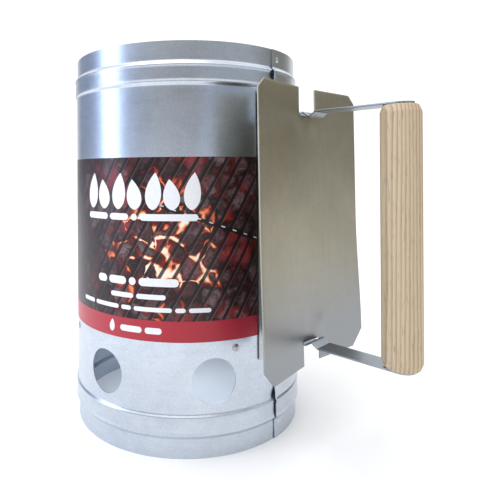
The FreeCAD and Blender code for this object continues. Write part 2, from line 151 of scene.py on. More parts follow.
class Nodes:
    """Short names for building the node tree of a material or a world."""

    def __init__(self, owner):
        owner.use_nodes = True
        self.owner = owner
        self.tree = owner.node_tree
        self.shader = self.tree.nodes.get("Principled BSDF")

    def add(self, kind, **settings):
        """A new node with its settings."""
        node = self.tree.nodes.new(kind)
        for name, setting in settings.items():
            setattr(node, name, setting)
        return node

    def feed(self, socket, source):
        """Link an output socket to an input, or set the input to a plain value."""
        if isinstance(source, bpy.types.NodeSocket):
            self.tree.links.new(source, socket)
        else:
            socket.default_value = source

    def set(self, **sockets):
        """Feed sockets of the main shader, with underscores for the spaces in their names."""
        for name, source in sockets.items():
            self.feed(self.shader.inputs[name.replace("_", " ")], source)

    def math(self, operation, *values, clamp=False):
        """One arithmetic step on outputs or plain numbers."""
        node = self.add("ShaderNodeMath", operation=operation, use_clamp=clamp)
        for socket, source in zip(node.inputs, values):
            self.feed(socket, source)
        return node.outputs[0]

    def add_up(self, *terms):
        """The sum of (value, weight) pairs."""
        total = None
        for value, weight in terms:
            part = self.math("MULTIPLY", value, weight)
            total = part if total is None else self.math("ADD", total, part)
        return total

    def axes(self, vector):
        """The X, Y and Z outputs of a vector."""
        parts = self.add("ShaderNodeSeparateXYZ")
        self.feed(parts.inputs["Vector"], vector)
        return parts.outputs["X"], parts.outputs["Y"], parts.outputs["Z"]

    def mix(self, factor, first, second, blend="MIX"):
        node = self.add("ShaderNodeMix", data_type="RGBA", blend_type=blend)
        self.feed(node.inputs["Factor"], factor)
        self.feed(node.inputs["A"], first)
        self.feed(node.inputs["B"], second)
        return node.outputs["Result"]

    def position(self, scale=(1, 1, 1), origin=(0, 0, 0)):
        """Object coordinates about an origin, stretched: the larger the scale, the finer the detail."""
        place = self.add("ShaderNodeTexCoord").outputs["Object"]
        mapping = self.add("ShaderNodeMapping", vector_type="POINT")
        self.feed(mapping.inputs["Vector"], place)
        self.feed(mapping.inputs["Scale"], scale)
        shift = tuple(-number * factor for number, factor in zip(origin, scale))
        self.feed(mapping.inputs["Location"], shift)
        return mapping.outputs["Vector"]

    def noise(self, vector, scale, detail=4.0, roughness=0.5):
        node = self.add("ShaderNodeTexNoise")
        self.feed(node.inputs["Vector"], vector)
        self.feed(node.inputs["Scale"], scale)
        self.feed(node.inputs["Detail"], detail)
        self.feed(node.inputs["Roughness"], roughness)
        return node.outputs["Fac"]

    def voronoi(self, vector, scale, feature="F1", output="Distance"):
        node = self.add("ShaderNodeTexVoronoi", feature=feature)
        self.feed(node.inputs["Vector"], vector)
        self.feed(node.inputs["Scale"], scale)
        return node.outputs[output]

    def ramp(self, factor, *stops, interpolation="LINEAR"):
        """Colours or grey levels at places from 0 to 1."""
        node = self.add("ShaderNodeValToRGB")
        self.feed(node.inputs["Fac"], factor)
        node.color_ramp.interpolation = interpolation
        elements = node.color_ramp.elements
        while len(elements) < len(stops):
            elements.new(0.5)
        for element, (place, colour) in zip(elements, stops):
            element.position = place
            element.color = (colour,) * 3 + (1,) if isinstance(colour, (int, float)) else (*colour, 1)
        return node.outputs["Color"]

    def grey(self, colour):
        node = self.add("ShaderNodeRGBToBW")
        self.feed(node.inputs["Color"], colour)
        return node.outputs["Val"]

    def warped(self, vector, scale, amount):
        """A vector pushed about by a noise, so that what it places has wavy outlines."""
        noise = self.add("ShaderNodeTexNoise")
        self.feed(noise.inputs["Vector"], vector)
        self.feed(noise.inputs["Scale"], scale)
        self.feed(noise.inputs["Detail"], 2.0)
        push = self.add("ShaderNodeVectorMath", operation="MULTIPLY_ADD")
        self.feed(push.inputs[0], noise.outputs["Color"])
        self.feed(push.inputs[1], (amount,) * 3)
        self.feed(push.inputs[2], vector)
        return push.outputs["Vector"]

    def scaled(self, value, low, high):
        """A 0 to 1 value mapped to a range."""
        node = self.add("ShaderNodeMapRange")
        self.feed(node.inputs["Value"], value)
        self.feed(node.inputs["To Min"], low)
        self.feed(node.inputs["To Max"], high)
        return node.outputs["Result"]

    def bump(self, height, distance, strength):
        """Relief of the surface, with its depth in metres."""
        node = self.add("ShaderNodeBump")
        self.feed(node.inputs["Height"], height)
        self.feed(node.inputs["Distance"], distance)
        self.feed(node.inputs["Strength"], strength)
        self.feed(self.shader.inputs["Normal"], node.outputs["Normal"])


# ---------------------------------------------------------------- materials

STAIN_TINT = (0.5, 0.47, 0.38)


def galvanised(name, dark, light, roughness=(0.3, 0.42), along=(1, 1, 1), stained=0.1, foot=None):
    """Hot-dip zinc on sheet: faint crystals, fine speckle, cloudy patches and streaks along the sheet.
    A foot colour is mixed in towards the ground as a painted reflection of the pale floor."""
    n = Nodes(bpy.data.materials.new(name))
    place = n.position()
    stretched = n.position(scale=along)
    crystal_tone = n.grey(n.voronoi(place, 170.0, output="Color"))
    speckle = n.noise(place, 1400.0, detail=2.0)
    clouds = n.noise(place, 22.0, detail=5.0, roughness=0.6)
    streaks = n.noise(stretched, 60.0, detail=4.0, roughness=0.65)
    tone = n.add_up((crystal_tone, 0.06), (speckle, 0.50), (clouds, 0.30), (streaks, 0.16))
    colour = n.ramp(tone, (0.31, dark), (0.69, light))
    stain = n.ramp(n.noise(place, 14.0, detail=6.0, roughness=0.65), (0.52, 0.0), (0.72, stained))
    colour = n.mix(stain, colour, (*STAIN_TINT, 1))
    # Painted reflection: towards the ground the colour turns to the foot colour, which stands in for the
    # floor seen in the metal.
    if foot:
        height_share = n.math("MULTIPLY", n.axes(place)[2], 4.0)
        low = n.ramp(height_share, (0.26, 0.85), (0.62, 0.0), interpolation="EASE")
        colour = n.mix(low, colour, (*foot, 1))
    n.set(Base_Color=colour, Metallic=1.0)
    n.set(Roughness=n.scaled(n.add_up((speckle, 0.5), (clouds, 0.5)), *roughness))
    n.bump(n.add_up((speckle, 0.12), (streaks, 0.8)), 0.02 * MM, 0.5)
    return n.owner


# The print's own coordinates: u runs along the band and v up it, and both count in heights of the band.
RED_BAND_TOP = 0.114
LUMP_SCALE = 8.2
FACET_SCALE = 38.0
FIRE_MIDDLE = (1.08, 0.65, 0.15)
BAR_RISE = math.radians(59.5)
BARS_PER_HEIGHT = 14.3
WIRE_SLOPE = 0.347
WIRE_LEVEL = 1.047
GLINT_LEVEL = 1.051


def print_charcoal(n, lumps, gap, ash):
    """Rounded lumps with dark gaps between them and small facets on them."""
    lump_tone = n.grey(n.voronoi(lumps, LUMP_SCALE, output="Color"))
    facet_tone = n.grey(n.voronoi(lumps, FACET_SCALE, output="Color"))
    tone = n.add_up((lump_tone, 0.34), (facet_tone, 0.22), (ash, 0.62))
    coal = n.ramp(tone, (0.34, (0.012, 0.007, 0.008)), (0.60, (0.062, 0.030, 0.034)),
                  (0.84, (0.210, 0.135, 0.140)))
    rounding = n.ramp(gap, (0.0, 0.16), (0.26, 1.0), interpolation="EASE")
    return n.mix(1.0, coal, rounding, blend="MULTIPLY")


def print_fire(n, coal, print_place, side, gap, ash):
    """Fire shows in some of the gaps and colours the lumps beside them."""
    from_middle = n.add("ShaderNodeVectorMath", operation="DISTANCE")
    n.feed(from_middle.inputs[0], n.warped(print_place, 4.0, 0.30))
    n.feed(from_middle.inputs[1], FIRE_MIDDLE)
    heat = n.ramp(from_middle.outputs["Value"], (0.10, 0.9), (0.46, 0.10), interpolation="EASE")
    heat = n.math("MULTIPLY", heat, side)
    reach = n.scaled(n.noise(print_place, 9.0, detail=2.0), -0.24, 0.48)
    reach = n.math("MAXIMUM", reach, 0.004)
    closeness = n.math("SUBTRACT", 1.0, n.math("DIVIDE", gap, reach), clamp=True)
    patches = n.ramp(n.noise(print_place, 10.0, detail=1.0), (0.42, 0.15), (0.56, 1.0),
                     interpolation="EASE")
    glow = n.math("MULTIPLY", closeness, n.math("MULTIPLY", heat, n.scaled(ash, 0.9, 1.6)))
    glow = n.math("MULTIPLY", glow, patches)
    fire = n.ramp(glow, (0.02, (0.0, 0.0, 0.0)), (0.16, (0.30, 0.018, 0.012)),
                  (0.36, (0.72, 0.14, 0.045)), (0.56, (0.88, 0.48, 0.24)), (0.76, (0.88, 0.80, 0.66)))
    warmth = n.ramp(n.noise(print_place, 5.2, detail=2.0), (0.50, 0.0), (0.72, 1.0), interpolation="EASE")
    warmth = n.math("MULTIPLY", n.math("MULTIPLY", warmth, n.scaled(ash, 0.3, 1.5)), side, clamp=True)
    blush = n.math("MULTIPLY", n.ramp(gap, (0.02, 0.85), (0.40, 0.10)), warmth)
    embers = n.mix(blush, coal, (0.36, 0.036, 0.046, 1))
    return n.mix(n.math("MULTIPLY", glow, 3.2, clamp=True), embers, fire)


def print_grill(n, embers, print_place, u, v, side):
    """Grill bars rise to the right, each with a faint lit edge, and one wire with glints crosses them."""
    across = n.math("SUBTRACT", n.math("MULTIPLY", u, math.sin(BAR_RISE)),
                    n.math("MULTIPLY", v, math.cos(BAR_RISE)))
    bar_place = n.math("FRACT", n.math("MULTIPLY", across, BARS_PER_HEIGHT))
    bar = n.ramp(bar_place, (0.28, 0.0), (0.33, 1.0), (0.56, 1.0), (0.61, 0.0))
    lit_edge = n.ramp(bar_place, (0.52, 0.0), (0.57, 1.0), (0.62, 0.0))
    grilled = n.mix(n.math("MULTIPLY", bar, n.scaled(side, 0.55, 0.93)), embers,
                    (0.011, 0.006, 0.008, 1))
    shine = n.math("MULTIPLY", n.scaled(side, 0.03, 0.30), n.scaled(n.noise(print_place, 9.0), -0.2, 1.7))
    grilled = n.mix(n.math("MULTIPLY", lit_edge, shine, clamp=True), grilled, (0.42, 0.28, 0.28, 1))
    wire_line = n.math("ADD", n.math("MULTIPLY", u, WIRE_SLOPE), v)
    wire_side = n.ramp(u, (0.78, 0.0), (0.95, 1.0))
    wire = n.math("MULTIPLY", n.math("COMPARE", wire_line, WIRE_LEVEL, 0.011), wire_side)
    grilled = n.mix(wire, grilled, (0.010, 0.008, 0.009, 1))
    dashes = n.ramp(bar_place, (0.62, 0.0), (0.68, 1.0), (0.96, 1.0), (1.0, 0.0))
    glint = n.math("MULTIPLY", n.math("COMPARE", wire_line, GLINT_LEVEL, 0.0036), dashes)
    return n.mix(n.math("MULTIPLY", glint, wire_side), grilled, (0.62, 0.66, 0.70, 1))


def printed_paper():
    """Glossy print of glowing charcoal under a grill's bars, over a red band along the foot."""
    n = Nodes(bpy.data.materials.new("printed_paper"))
    print_place = n.add("ShaderNodeTexCoord").outputs["UV"]
    u, v, _ = n.axes(print_place)
    side = n.ramp(u, (0.22, 0.0), (0.62, 1.0), interpolation="EASE")
    lumps = n.warped(print_place, 5.0, 0.16)
    gap = n.voronoi(n.warped(lumps, 24.0, 0.025), LUMP_SCALE, feature="DISTANCE_TO_EDGE")
    ash = n.noise(print_place, 60.0, detail=6.0, roughness=0.72)
    coal = print_charcoal(n, lumps, gap, ash)
    embers = print_fire(n, coal, print_place, side, gap, ash)
    grilled = print_grill(n, embers, print_place, u, v, side)

    # The print fades to a cool dark tone at its left end.
    shade = n.ramp(u, (0.12, 0.92), (0.72, 0.0), interpolation="EASE")
    faded = n.mix(shade, grilled, (0.036, 0.026, 0.033, 1))
    red_tone = n.ramp(n.math("MULTIPLY", u, 0.68), (0.12, (0.44, 0.055, 0.075)),
                      (0.60, (0.40, 0.026, 0.042)), (0.98, (0.33, 0.018, 0.034)))
    red_mask = n.math("LESS_THAN", v, RED_BAND_TOP)
    n.set(Base_Color=n.mix(red_mask, faded, red_tone), Roughness=n.scaled(ash, 0.27, 0.40))
    n.set(Specular_IOR_Level=0.32)
    n.bump(n.noise(print_place, 160.0, detail=3.0), 0.03 * MM, 0.35)
    return n.owner


def white_print():
    """Matt white ink."""
    n = Nodes(bpy.data.materials.new("white_print"))
    speckle = n.noise(n.position(), 900.0, detail=2.0)
    n.set(Base_Color=n.ramp(speckle, (0.3, (0.74, 0.75, 0.78)), (0.7, (0.82, 0.83, 0.85))),
          Roughness=n.scaled(speckle, 0.34, 0.44))
    return n.owner


PITH_DISTANCE = 75 * MM
PITH_BEARING = math.radians(46.8)
RING_SPACING = 2.25 * MM


def turned_wood():
    """Straight-grained softwood: growth rings about a pith outside the dowel, with fibres and pores."""
    n = Nodes(bpy.data.materials.new("turned_wood"))

    def grain(squeeze, scale, detail, roughness=0.5):
        """A noise drawn out along the dowel: the smaller the squeeze, the longer its streaks."""
        place = n.position(scale=(1, 1, squeeze), origin=(GRIP_X, 0, 0))
        return n.noise(place, scale, detail=detail, roughness=roughness)

    x, y, _ = n.axes(n.position(origin=(GRIP_X, 0, 0)))
    dx = n.math("ADD", x, PITH_DISTANCE * math.cos(PITH_BEARING))
    dy = n.math("ADD", y, PITH_DISTANCE * math.sin(PITH_BEARING))
    radius = n.math("SQRT", n.math("ADD", n.math("MULTIPLY", dx, dx), n.math("MULTIPLY", dy, dy)))
    drift = n.add_up((grain(0.10, 40.0, 1.0), 5.0 * MM), (grain(0.10, 240.0, 2.0), 0.9 * MM))
    ring = n.math("FRACT", n.math("DIVIDE", n.math("ADD", radius, drift), RING_SPACING))
    late_wood = n.ramp(ring, (0.0, 0.05), (0.40, 0.12), (0.66, 0.72), (0.80, 1.0), (0.92, 0.85),
                       (1.0, 0.05))
    weight = n.scaled(grain(0.02, 420.0, 1.0), 0.45, 1.25)
    late_wood = n.math("MULTIPLY", late_wood, weight, clamp=True)
    toned = n.mix(late_wood, (0.565, 0.445, 0.300, 1), (0.25, 0.155, 0.085, 1))
    fibres = grain(0.018, 1500.0, 3.0, roughness=0.6)
    toned = n.mix(n.scaled(fibres, 0.0, 0.45), toned, (0.61, 0.505, 0.370, 1))
    toned = n.mix(n.scaled(grain(0.12, 60.0, 3.0), 0.0, 0.30), toned, (0.36, 0.255, 0.140, 1))
    pore_mask = n.ramp(grain(0.05, 2300.0, 1.0), (0.62, 0.0), (0.70, 0.5))
    n.set(Base_Color=n.mix(pore_mask, toned, (0.17, 0.095, 0.05, 1)))
    n.set(Roughness=n.scaled(fibres, 0.48, 0.68))
    n.bump(n.add_up((late_wood, 0.5), (fibres, 1.0)), 0.10 * MM, 0.5)
    return n.owner


def plated(name, colour, roughness):
    """Bright plated steel of a fastener, with a slightly uneven shine."""
    n = Nodes(bpy.data.materials.new(name))
    speckle = n.noise(n.position(), 1600.0, detail=3.0)
    clouds = n.noise(n.position(), 240.0, detail=3.0)
    dark = tuple(0.72 * channel for channel in colour)
    n.set(Base_Color=n.mix(n.scaled(clouds, 0.0, 0.8), (*colour, 1), (*dark, 1)), Metallic=1.0)
    n.set(Roughness=n.scaled(speckle, roughness - 0.08, roughness + 0.1))
    n.bump(speckle, 0.02 * MM, 0.5)
    return n.owner


# ---------------------------------------------------------------- tube

# Levels are heights in millimetres, and turns are degrees along the sheet from its lapped edge.
SHEET = 0.6 * MM
HEIGHT_LEVEL = HEIGHT / MM
BEAD_LINE = ((0.0, RIM_RADIUS), (13.3, RIM_RADIUS), (15.5, BEAD_RADIUS), (17.4, BEAD_RADIUS - 0.5 * MM),
             (25.6, BEAD_RADIUS - 0.45 * MM), (27.6, BEAD_RADIUS), (29.3, BODY_RADIUS))
CREASE_SOFTNESS = 0.45
LAP_END = 9.0
LAP_FADE = 31.0
LAP_GAP = 0.15 * MM
SEAM_STEP = 0.33
TOP_BEAD_FROM_TOP = 18.5
SPOT_WELD_ANGLE = 3.8
SPOT_WELD_LEVELS = [11.5, 38.6] + [64.0 + 29.0 * number for number in range(7)] + [271.0]
SPOT_WELD_RADIUS = 2.4
SPOT_WELD_DEPTH = 0.42
SPOT_WELD_RIM = 0.08
VENTS = 7
VENT_ANGLES = [19.7 + 360 / VENTS * number for number in range(VENTS)]
VENT_LEVEL = 51.0
VENT_RADIUS = 15.3 * MM
# Around each vent the mesh turns from a grid to rings, inside a patch between these angles and levels.
PATCH_HALF_ANGLE = 14
PATCH_BOTTOM, PATCH_TOP = 30.0, 72.0
PATCH_RINGS = (0.35, 0.6, 0.8, 0.93, 1.0)


def wall_radius(level):
    """Radius of the tube's outside at a level, with its creases eased."""
    from_end = np.minimum(level, HEIGHT_LEVEL - level)
    levels, radii = zip(*BEAD_LINE)
    shifts = np.linspace(-CREASE_SOFTNESS, CREASE_SOFTNESS, 7)
    return np.mean([np.interp(from_end + shift, levels, radii) for shift in shifts], axis=0)


def sheet_waves(angle, level):
    """Slight unevenness of the rolled sheet, in metres."""
    turn = np.radians(angle)
    slow = np.sin(3 * turn + 0.021 * level + 0.7) * 0.05 + np.sin(5 * turn - 0.013 * level + 2.1) * 0.035
    fine = np.sin(11 * turn + 0.05 * level) * 0.012 + np.sin(8 * turn - 0.09 * level + 1.0) * 0.010
    return (slow + fine - 0.06) * MM


def lap_rise(turn):
    """How far the sheet stands out where it lies on its own other end."""
    return (SHEET + LAP_GAP) * (1 - smoothstep((turn - LAP_END) / LAP_FADE))


def edge_lift(turn, level):
    """The lapped edge springs away a little, most of all in the beads, where the layers don't nest."""
    top_bead = np.exp(-((HEIGHT_LEVEL - level - TOP_BEAD_FROM_TOP) / 3.6) ** 2)
    foot_bead = np.exp(-((level - 31.0) / 4.5) ** 2) + 0.5 * np.exp(-((level - 21.0) / 5.0) ** 2)
    wander = 0.10 + 0.05 * np.sin(0.45 * level) + 0.04 * np.sin(0.19 * level + 1.0)
    lift = np.exp(-turn / 1.6) * (wander + 1.0 * top_bead + 1.0 * foot_bead)
    under = np.exp(-(np.abs(turn - 360.0) / 2.2) ** 2) * (0.9 * top_bead + 0.7 * foot_bead)
    return (lift - under) * MM


def weld_dimples(turn, level):
    """Depth of the small round marks of the spot welds, each with a low raised rim."""
    depth = np.zeros_like(level, dtype=float)
    along = np.radians(turn - SPOT_WELD_ANGLE) * BODY_RADIUS / MM
    for spot in SPOT_WELD_LEVELS:
        away_squared = along ** 2 + (level - spot) ** 2
        depth += SPOT_WELD_DEPTH * np.exp(-(away_squared / SPOT_WELD_RADIUS) ** 2)
        depth -= SPOT_WELD_RIM * np.exp(-((np.sqrt(away_squared) - SPOT_WELD_RADIUS) / 0.8) ** 2)
    return depth * MM


def wall_point(turn, level):
    """Point on the tube's outside. Turns run past 360, up to the end of the sheet under the lap."""
    turn = np.asarray(turn, float)
    level = np.asarray(level, float)
    radius = wall_radius(level) + sheet_waves(turn, level)
    radius = radius + lap_rise(turn) + edge_lift(turn, level) - weld_dimples(turn, level)
    angle = np.radians(turn)
    return np.stack([AXIS_X + radius * np.cos(angle), radius * np.sin(angle), level * MM], axis=-1)


def tube_columns():
    """Angles of the mesh's columns: close together at the seam, and one at each side of every vent."""
    stops = [0.0, LAP_END, 360.0, 360.0 + LAP_END]
    for angle in VENT_ANGLES:
        stops += [angle - PATCH_HALF_ANGLE, angle + PATCH_HALF_ANGLE]
    stops = sorted(stops)
    turns = [0.0]
    for start, end in zip(stops, stops[1:]):
        step = SEAM_STEP if end <= LAP_END else 1.0
        count = max(1, math.ceil((end - start) / step - 1e-6))
        turns += [start + (end - start) * number / count for number in range(1, count + 1)]
    return np.array(turns)


def tube_levels():
    """Levels of the mesh's rows: close together in the beads."""
    return np.concatenate([np.linspace(0, PATCH_BOTTOM, 51), np.linspace(PATCH_BOTTOM, PATCH_TOP, 29)[1:],
                           np.linspace(PATCH_TOP, HEIGHT_LEVEL - PATCH_BOTTOM, 46)[1:],
                           np.linspace(HEIGHT_LEVEL - PATCH_BOTTOM, HEIGHT_LEVEL, 51)[1:]])


def nearest(values, wanted):
    """Number of the entry that is closest to a wanted value."""
    return int(np.argmin(np.abs(values - wanted)))


def inside_patch(turn, level):
    """True where a vent's patch takes the place of the grid."""
    close = any(abs(turn - angle) < PATCH_HALF_ANGLE for angle in VENT_ANGLES)
    return close and PATCH_BOTTOM < level < PATCH_TOP


def patch_border(turns, levels, angle):
    """Rows and columns of the grid's points round one vent's patch, in order."""
    low_row, high_row = nearest(levels, PATCH_BOTTOM), nearest(levels, PATCH_TOP)
    left, right = nearest(turns, angle - PATCH_HALF_ANGLE), nearest(turns, angle + PATCH_HALF_ANGLE)
    return ([(low_row, column) for column in range(left, right)]
            + [(row, right) for row in range(low_row, high_row)]
            + [(high_row, column) for column in range(right, left, -1)]
            + [(row, left) for row in range(high_row, low_row, -1)])


def add_vent(vertices, faces, turns, levels, angle):
    """Fill a patch with rings of faces that turn from its border into a round hole."""
    border = patch_border(turns, levels, angle)
    ring = [row * len(turns) + column for row, column in border]
    along = np.array([math.radians(turns[column] - angle) * BODY_RADIUS for row, column in border])
    up = np.array([(levels[row] - VENT_LEVEL) * MM for row, column in border])
    bearing = np.arctan2(up, along)
    count = len(ring)
    for nearness in PATCH_RINGS:
        to_along = along + (np.cos(bearing) * VENT_RADIUS - along) * nearness
        to_up = up + (np.sin(bearing) * VENT_RADIUS - up) * nearness
        points = wall_point(angle + np.degrees(to_along / BODY_RADIUS), VENT_LEVEL + to_up / MM)
        inner = list(range(len(vertices), len(vertices) + count))
        vertices += [tuple(point) for point in points]
        faces += [(ring[k], ring[(k + 1) % count], inner[(k + 1) % count], inner[k]) for k in range(count)]
        ring = inner


def make_tube():
    """One sheet rolled into a tube, as a grid of points with a patch of rings round each vent."""
    turns, levels = tube_columns(), tube_levels()
    columns = len(turns)
    vertices = [tuple(point) for point in wall_point(*np.meshgrid(turns, levels)).reshape(-1, 3)]
    faces = []
    for row in range(len(levels) - 1):
        middle_level = (levels[row] + levels[row + 1]) / 2
        for column in range(columns - 1):
            middle_turn = (turns[column] + turns[column + 1]) / 2
            if not inside_patch(middle_turn, middle_level):
                first = row * columns + column
                faces.append((first, first + 1, first + columns + 1, first + columns))
    for angle in VENT_ANGLES:
        add_vent(vertices, faces, turns, levels, angle)
    tube = add_mesh("tube", vertices, faces)
    apply_modifier(tube, "SOLIDIFY", thickness=SHEET, offset=-1.0, smooth_angle=50)
    return tube


# ---------------------------------------------------------------- printed band

LABEL_END = 349.5
LABEL_START = 235.0
LABEL_BOTTOM = label_low.z / MM
LABEL_TOP = label_high.z / MM
LABEL_HEIGHT = LABEL_TOP - LABEL_BOTTOM
LABEL_PAPER = 0.10 * MM
LABEL_LIFT = 0.14 * MM
MARK_LIFT = 0.17 * MM
DASH_GAP = 2.2


def label_point(turn, level, lift):
    """A point a little above the tube's wall, in the printed band's own place."""
    point = wall_point(turn, level)
    angle = np.radians(turn)
    outward = np.stack([np.cos(angle), np.sin(angle), np.zeros_like(angle)], axis=-1)
    return point + outward * lift


def make_label():
    """The paper band on the tube's wall, with coordinates for its print."""
    turns = np.linspace(LABEL_START, LABEL_END, 116)
    levels = np.linspace(LABEL_BOTTOM, LABEL_TOP, 63)
    grid_turn, grid_level = np.meshgrid(turns, levels)
    points = label_point(grid_turn, grid_level, LABEL_LIFT).reshape(-1, 3)
    columns = len(turns)
    starts = [row * columns + column for row in range(len(levels) - 1) for column in range(columns - 1)]
    faces = [(first, first + 1, first + columns + 1, first + columns) for first in starts]
    band = add_mesh("printed_band", points, faces)
    layer = band.data.uv_layers.new(name="UVMap")
    u = np.radians(grid_turn - LABEL_START).reshape(-1) * BODY_RADIUS / (LABEL_HEIGHT * MM)
    v = ((grid_level - LABEL_BOTTOM) / LABEL_HEIGHT).reshape(-1)
    for loop in band.data.loops:
        layer.data[loop.index].uv = (u[loop.vertex_index], v[loop.vertex_index])
    apply_modifier(band, "SOLIDIFY", thickness=LABEL_PAPER, offset=-1.0)
    return band


def flame_rows(width, height, lean):
    """A simple drop-shaped flame as rows of (height, left, right): round foot and a tip that leans."""
    rows = []
    for step in range(25):
        up = 0.5 - 0.5 * math.cos(math.pi * step / 24)
        half = 0.5 * width * (4 * up * (1 - up) ** 1.5) ** 0.62 * 1.06
        middle = lean * width * up ** 2
        rows.append((height * up, middle - half, middle + half))
    return rows


def dash_rows(width, height):
    """A rounded dash as rows of (height, left, right)."""
    radius = height / 2
    rows = []
    for step in range(9):
        up = -radius * math.cos(math.pi * step / 8)
        half = width / 2 - radius + math.sqrt(max(0.0, radius ** 2 - up ** 2))
        rows.append((up, -half, half))
    return rows


def add_mark(vertices, faces, turn, level, rows):
    """Lay one mark on the band: its rows are cut into short steps, so that it follows the curve."""
    widest = max(right - left for _, left, right in rows)
    columns = max(4, math.ceil(widest / 1.5)) + 1
    start = len(vertices)
    for height, left, right in rows:
        across = np.linspace(left, right, columns)
        turns = turn + np.degrees(across * MM / BODY_RADIUS)
        vertices += list(label_point(turns, np.full(columns, level + height), MARK_LIFT))
    for row in range(len(rows) - 1):
        for column in range(columns - 1):
            first = start + row * columns + column
            faces.append((first, first + 1, first + columns + 1, first + columns))


def add_dashes(vertices, faces, turn, level, height, widths):
    """A row of dashes with even gaps, as a place-holder for a line of print."""
    place = 0.0
    for width in widths:
        middle = turn + math.degrees((place + width / 2) * MM / BODY_RADIUS)
        add_mark(vertices, faces, middle, level, dash_rows(width, height))
        place += width + DASH_GAP


# Rows of dashes as (turn of the left end, level, height of a dash, widths).
DASH_LINES = (
    (265.0, 160.2, 4.6, (22.0, 16.0, 4.6, 40.0)),
    (272.6, 116.8, 5.4, (9.0, 15.0, 5.4, 28.0)),
    (280.8, 107.0, 3.4, (19.0, 21.0)),
    (259.6, 98.6, 3.0, (15.0, 23.0, 8.0, 27.0, 7.0, 15.0)),
    (286.0, 84.4, 4.2, (17.0, 12.0)),
)
FLAMES = 7
FLAME_LEVEL = 165.2
FLAME_WIDTH = 12.8
FIRST_FLAME_TURN = 268.4
FLAME_STEP = 8.45


def make_print_marks():
    """Plain white marks on the band, with no lettering: flames, and dashes in place of lines of print."""
    vertices = []
    faces = []
    for number in range(FLAMES):
        height, lean = ((25.0, 0.16), (20.5, -0.14))[number % 2]
        turn = FIRST_FLAME_TURN + FLAME_STEP * number
        add_mark(vertices, faces, turn, FLAME_LEVEL, flame_rows(FLAME_WIDTH, height, lean))
    add_mark(vertices, faces, 281.3, 80.6, flame_rows(5.2, 8.6, 0.12))
    for line in DASH_LINES:
        add_dashes(vertices, faces, *line)
    return add_mesh("band_marks", vertices, faces)


# ---------------------------------------------------------------- shield

STRAP_THICKNESS = 1.2 * MM
SHIELD_THICKNESS = 1.0 * MM
SHIELD_HALF = shield_high.y
SHIELD_REACH = shield_low.x
SHIELD_SWEEP = 6.2 * MM
SHIELD_LEAN = math.radians(0.88)
NOTCH_HALF = 9.75 * MM
NOTCH_PLAY = 1.2 * MM
NOTCH_EASE = 1.6 * MM
LOWER_NOTCH_PLAY = 0.9 * MM
LOWER_NOTCH_SLOPE = 1.3 * MM
TOP_CORNER = (7 * MM, 6 * MM)
BOTTOM_CORNER = (10.8 * MM, 11 * MM)
FOLD_SOFTNESS = 9.0 * MM
# Each wing bows back towards the tube, more and more between two heights.
LEFT_BOW = 1.0 * MM
RIGHT_BOW = 2.8 * MM
BOW_START = 70 * MM
BOW_LENGTH = 90 * MM
WAVE_DEPTH = 0.30 * MM
# Dents that the crimped strap presses into the sheet beside the notches: (y, z, rise, spread).
SHIELD_DENTS = (
    (9.0 * MM, 87.0 * MM, 1.1 * MM, 5.5 * MM),
    (-9.0 * MM, 84.0 * MM, 0.5 * MM, 5.0 * MM),
    (8.0 * MM, 222.0 * MM, 0.45 * MM, 6.0 * MM),
    (-8.0 * MM, 223.0 * MM, 0.5 * MM, 6.0 * MM),
)


def shield_reach_at(z):
    """How far out the leaning shield's fold stands at a height."""
    return SHIELD_REACH + (shield_high.z - z) * math.tan(SHIELD_LEAN)


def shield_outline():
    """Front view of the shield as (y, z): notches at top and bottom, and cut corners."""
    top, bottom, half = shield_high.z, shield_low.z, SHIELD_HALF
    floor = strap_high.z - STRAP_THICKNESS - NOTCH_PLAY
    roof = strap_low.z + STRAP_THICKNESS + LOWER_NOTCH_PLAY
    right = [
        (NOTCH_HALF, bottom), (half - BOTTOM_CORNER[0], bottom), (half, bottom + BOTTOM_CORNER[1]),
        (half, top - TOP_CORNER[1]), (half - TOP_CORNER[0], top), (NOTCH_HALF, top),
        (NOTCH_HALF, floor + NOTCH_EASE), (NOTCH_HALF - NOTCH_EASE, floor),
    ]
    left = [(-y, z) for y, z in reversed(right)]
    low_notch = [(-NOTCH_HALF, roof + LOWER_NOTCH_SLOPE), (NOTCH_HALF, roof)]
    return right + left + low_notch


def shield_depth(y, z):
    """How far the shield's inner face stands along x: two wings swept outwards from a soft fold."""
    soft = math.hypot(y, FOLD_SOFTNESS) - FOLD_SOFTNESS
    reach = math.hypot(SHIELD_HALF, FOLD_SOFTNESS) - FOLD_SOFTNESS
    bow = (LEFT_BOW if y < 0 else RIGHT_BOW) * float(smoothstep((z - BOW_START) / BOW_LENGTH))
    depth = shield_reach_at(z) + (SHIELD_SWEEP - bow) * soft / reach
    calm = 1 - min(1.0, abs(y) / SHIELD_HALF) ** 6
    depth += WAVE_DEPTH * calm * math.sin(38 * y + 25 * z + 0.5) * math.sin(31 * z + 0.8)
    for dent_y, dent_z, rise, spread in SHIELD_DENTS:
        away = math.hypot(y - dent_y, z - dent_z) / spread
        depth += rise * math.exp(-away * away)
    return depth


def cut_across(mesh, place, normal):
    """Cut every face of a mesh along a plane."""
    everything = mesh.verts[:] + mesh.edges[:] + mesh.faces[:]
    bmesh.ops.bisect_plane(mesh, geom=everything, plane_co=place, plane_no=normal, dist=1e-7)


